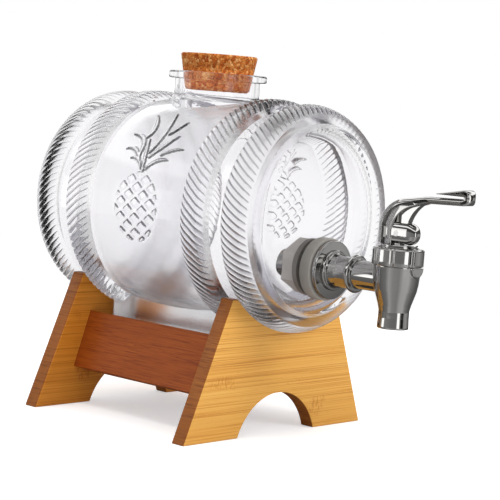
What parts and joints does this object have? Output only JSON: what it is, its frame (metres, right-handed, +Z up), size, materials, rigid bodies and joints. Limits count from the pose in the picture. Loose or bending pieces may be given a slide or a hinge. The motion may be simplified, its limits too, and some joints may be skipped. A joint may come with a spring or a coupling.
{
  "type": "drinks dispenser",
  "caption": "Barrel-shaped clear glass drinks dispenser lying on a bamboo stand, with a cork in its neck and a lever tap in its front head.",
  "frame": {"origin": "middle of the bounding box's length and width, on the surface that the stand's feet rest on", "axes": "+X from the barrel to the tap along the barrel's axis, +Z up, +Y to the barrel's side"},
  "size_m": [0.2547, 0.142, 0.198],
  "materials": {
    "clear_glass": "clear, polished",
    "cork": "agglomerate cork",
    "bamboo": "satin bamboo",
    "dowel_wood": "plain",
    "grey_silicone": "satin",
    "grey_plastic": "satin",
    "chrome": "mirror",
    "valve_steel": "satin"
  },
  "bodies": {
    "stand": {"front_stand_panel": "bamboo", "rear_stand_panel": "bamboo", "left_stretcher": "bamboo", "right_stretcher": "bamboo", "stretcher_dowels": "dowel_wood"},
    "barrel": {"glass_barrel": "clear_glass", "outer_gasket": "grey_silicone", "inner_gasket": "grey_silicone", "tap_flange": "chrome", "lock_nut": "grey_plastic", "tap_body": "chrome", "bonnet_cap": "chrome", "bonnet_o_ring": "grey_silicone", "bonnet_washer": "chrome"},
    "cork": {"cork_stopper": "cork"},
    "valve": {"valve_stem": "valve_steel", "seat_cup": "grey_silicone", "valve_spring": "valve_steel"},
    "handle": {"lever": "chrome", "lever_pin": "valve_steel"}
  },
  "joints": [
    {"name": "barrel_lift", "type": "slide", "parent": "stand", "child": "barrel", "axis": [0, 0, 1], "range_m": [0, 0.08]},
    {"name": "cork_lift", "type": "slide", "parent": "barrel", "child": "cork", "axis": [0, 0, 1], "range_m": [0, 0.04]},
    {"name": "valve_lift", "type": "slide", "parent": "barrel", "child": "valve", "axis": [0, 0, 1], "range_m": [0, 0.00314], "stiffness_N_per_m": 1200, "springref_m": -0.004, "deforming": ["valve_spring"]},
    {"name": "lever_tilt", "type": "hinge", "parent": "valve", "child": "handle", "pos_m": [0.08495, 0, 0.11445], "axis": [0, 1, 0], "range_deg": [0, 30]}
  ],
  "couplings": [
    {"joint": "lever_tilt", "follows": "valve_lift", "rad_per_m": 166.67}
  ]
}
